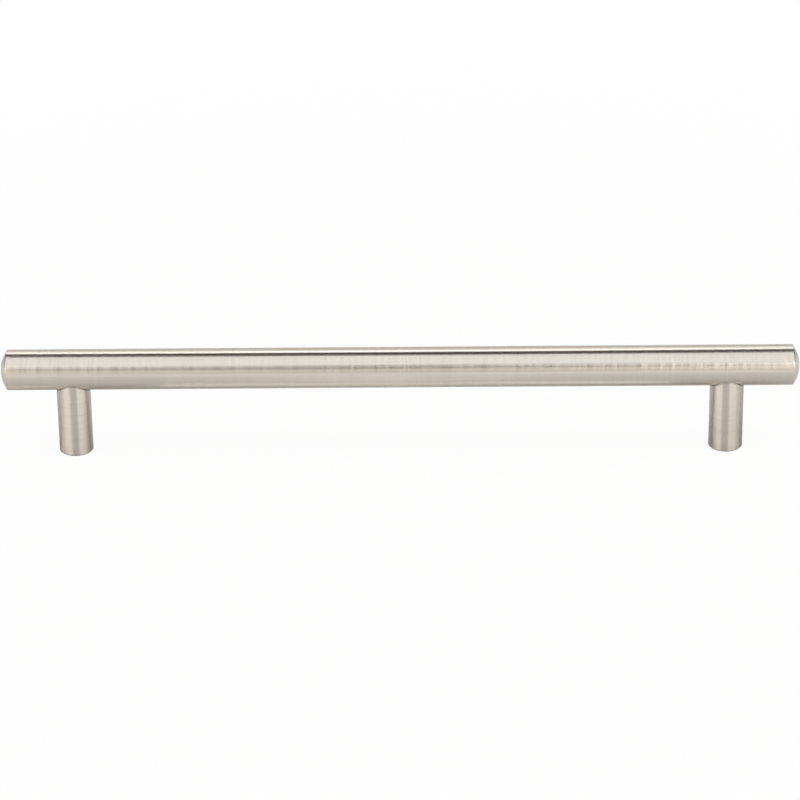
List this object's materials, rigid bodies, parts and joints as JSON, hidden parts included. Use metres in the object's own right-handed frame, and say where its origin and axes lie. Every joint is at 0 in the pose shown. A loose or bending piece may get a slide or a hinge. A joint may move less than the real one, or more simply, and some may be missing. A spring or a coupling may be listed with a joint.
{
  "type": "t bar cabinet pull",
  "caption": "Straight bar pull for doors and drawers: a solid round rod with shallow domed ends, carried on round posts that are tapped at the foot for screws from behind.",
  "frame": {"origin": "centre of the mounting plane, midway between the two feet", "axes": "+X along the bar, +Z from the mounting plane out to the bar, +Y across the bar"},
  "size_m": [0.234, 0.012, 0.032],
  "materials": {
    "bar_finish": "satin nickel, brushed round the rod",
    "post_finish": "satin nickel, brushed round the post",
    "stud_steel": "plain zinc-plated steel"
  },
  "bodies": {
    "root": {"bar": "bar_finish", "left_post": "post_finish", "right_post": "post_finish", "left_joining_stud": "stud_steel", "right_joining_stud": "stud_steel"}
  },
  "joints": []
}
